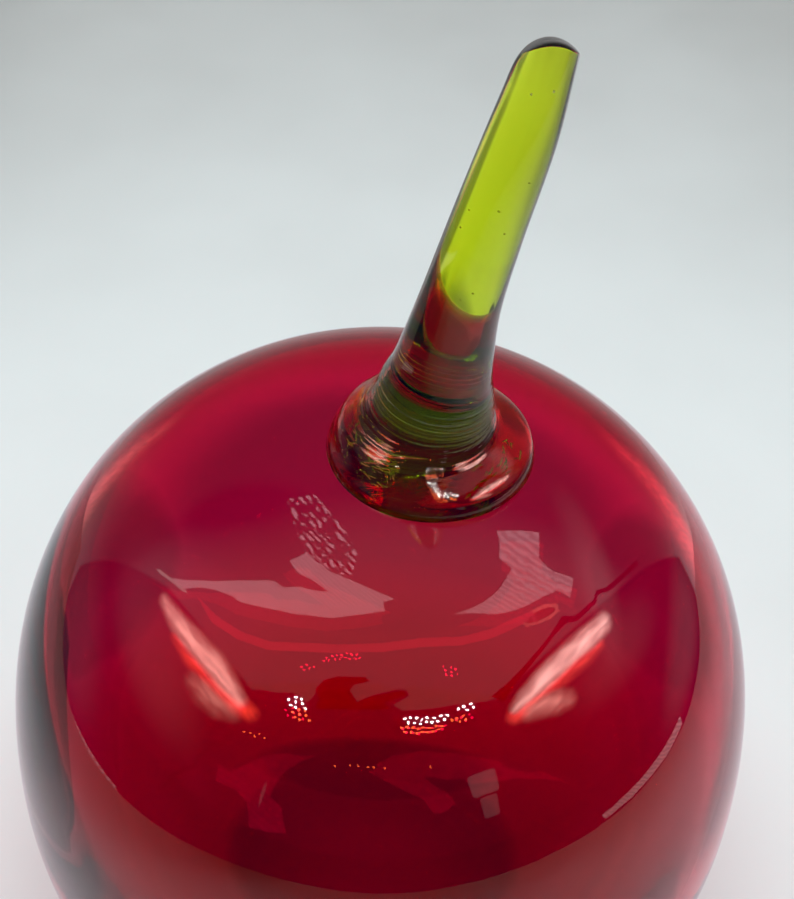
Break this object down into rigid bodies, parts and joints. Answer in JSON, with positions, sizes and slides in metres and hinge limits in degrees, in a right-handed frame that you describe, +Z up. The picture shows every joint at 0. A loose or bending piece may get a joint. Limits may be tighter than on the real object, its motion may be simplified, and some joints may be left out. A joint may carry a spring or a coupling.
{
  "type": "art glass apple",
  "caption": "Hollow blown glass apple ornament with a flat ground base ring and a tall applied solid glass stem that leans to one side.",
  "frame": {"origin": "centre of the ground base ring that the apple rests on", "axes": "+Z up along the body's axis; +X to the side that the stem leans to"},
  "size_m": [0.13, 0.13, 0.2064],
  "materials": {
    "ruby_glass": "fire-polished transparent ruby glass",
    "green_glass": "fire-polished transparent yellow-green glass"
  },
  "bodies": {
    "root": {"glass_body": "ruby_glass", "glass_stem": "green_glass"}
  },
  "joints": []
}
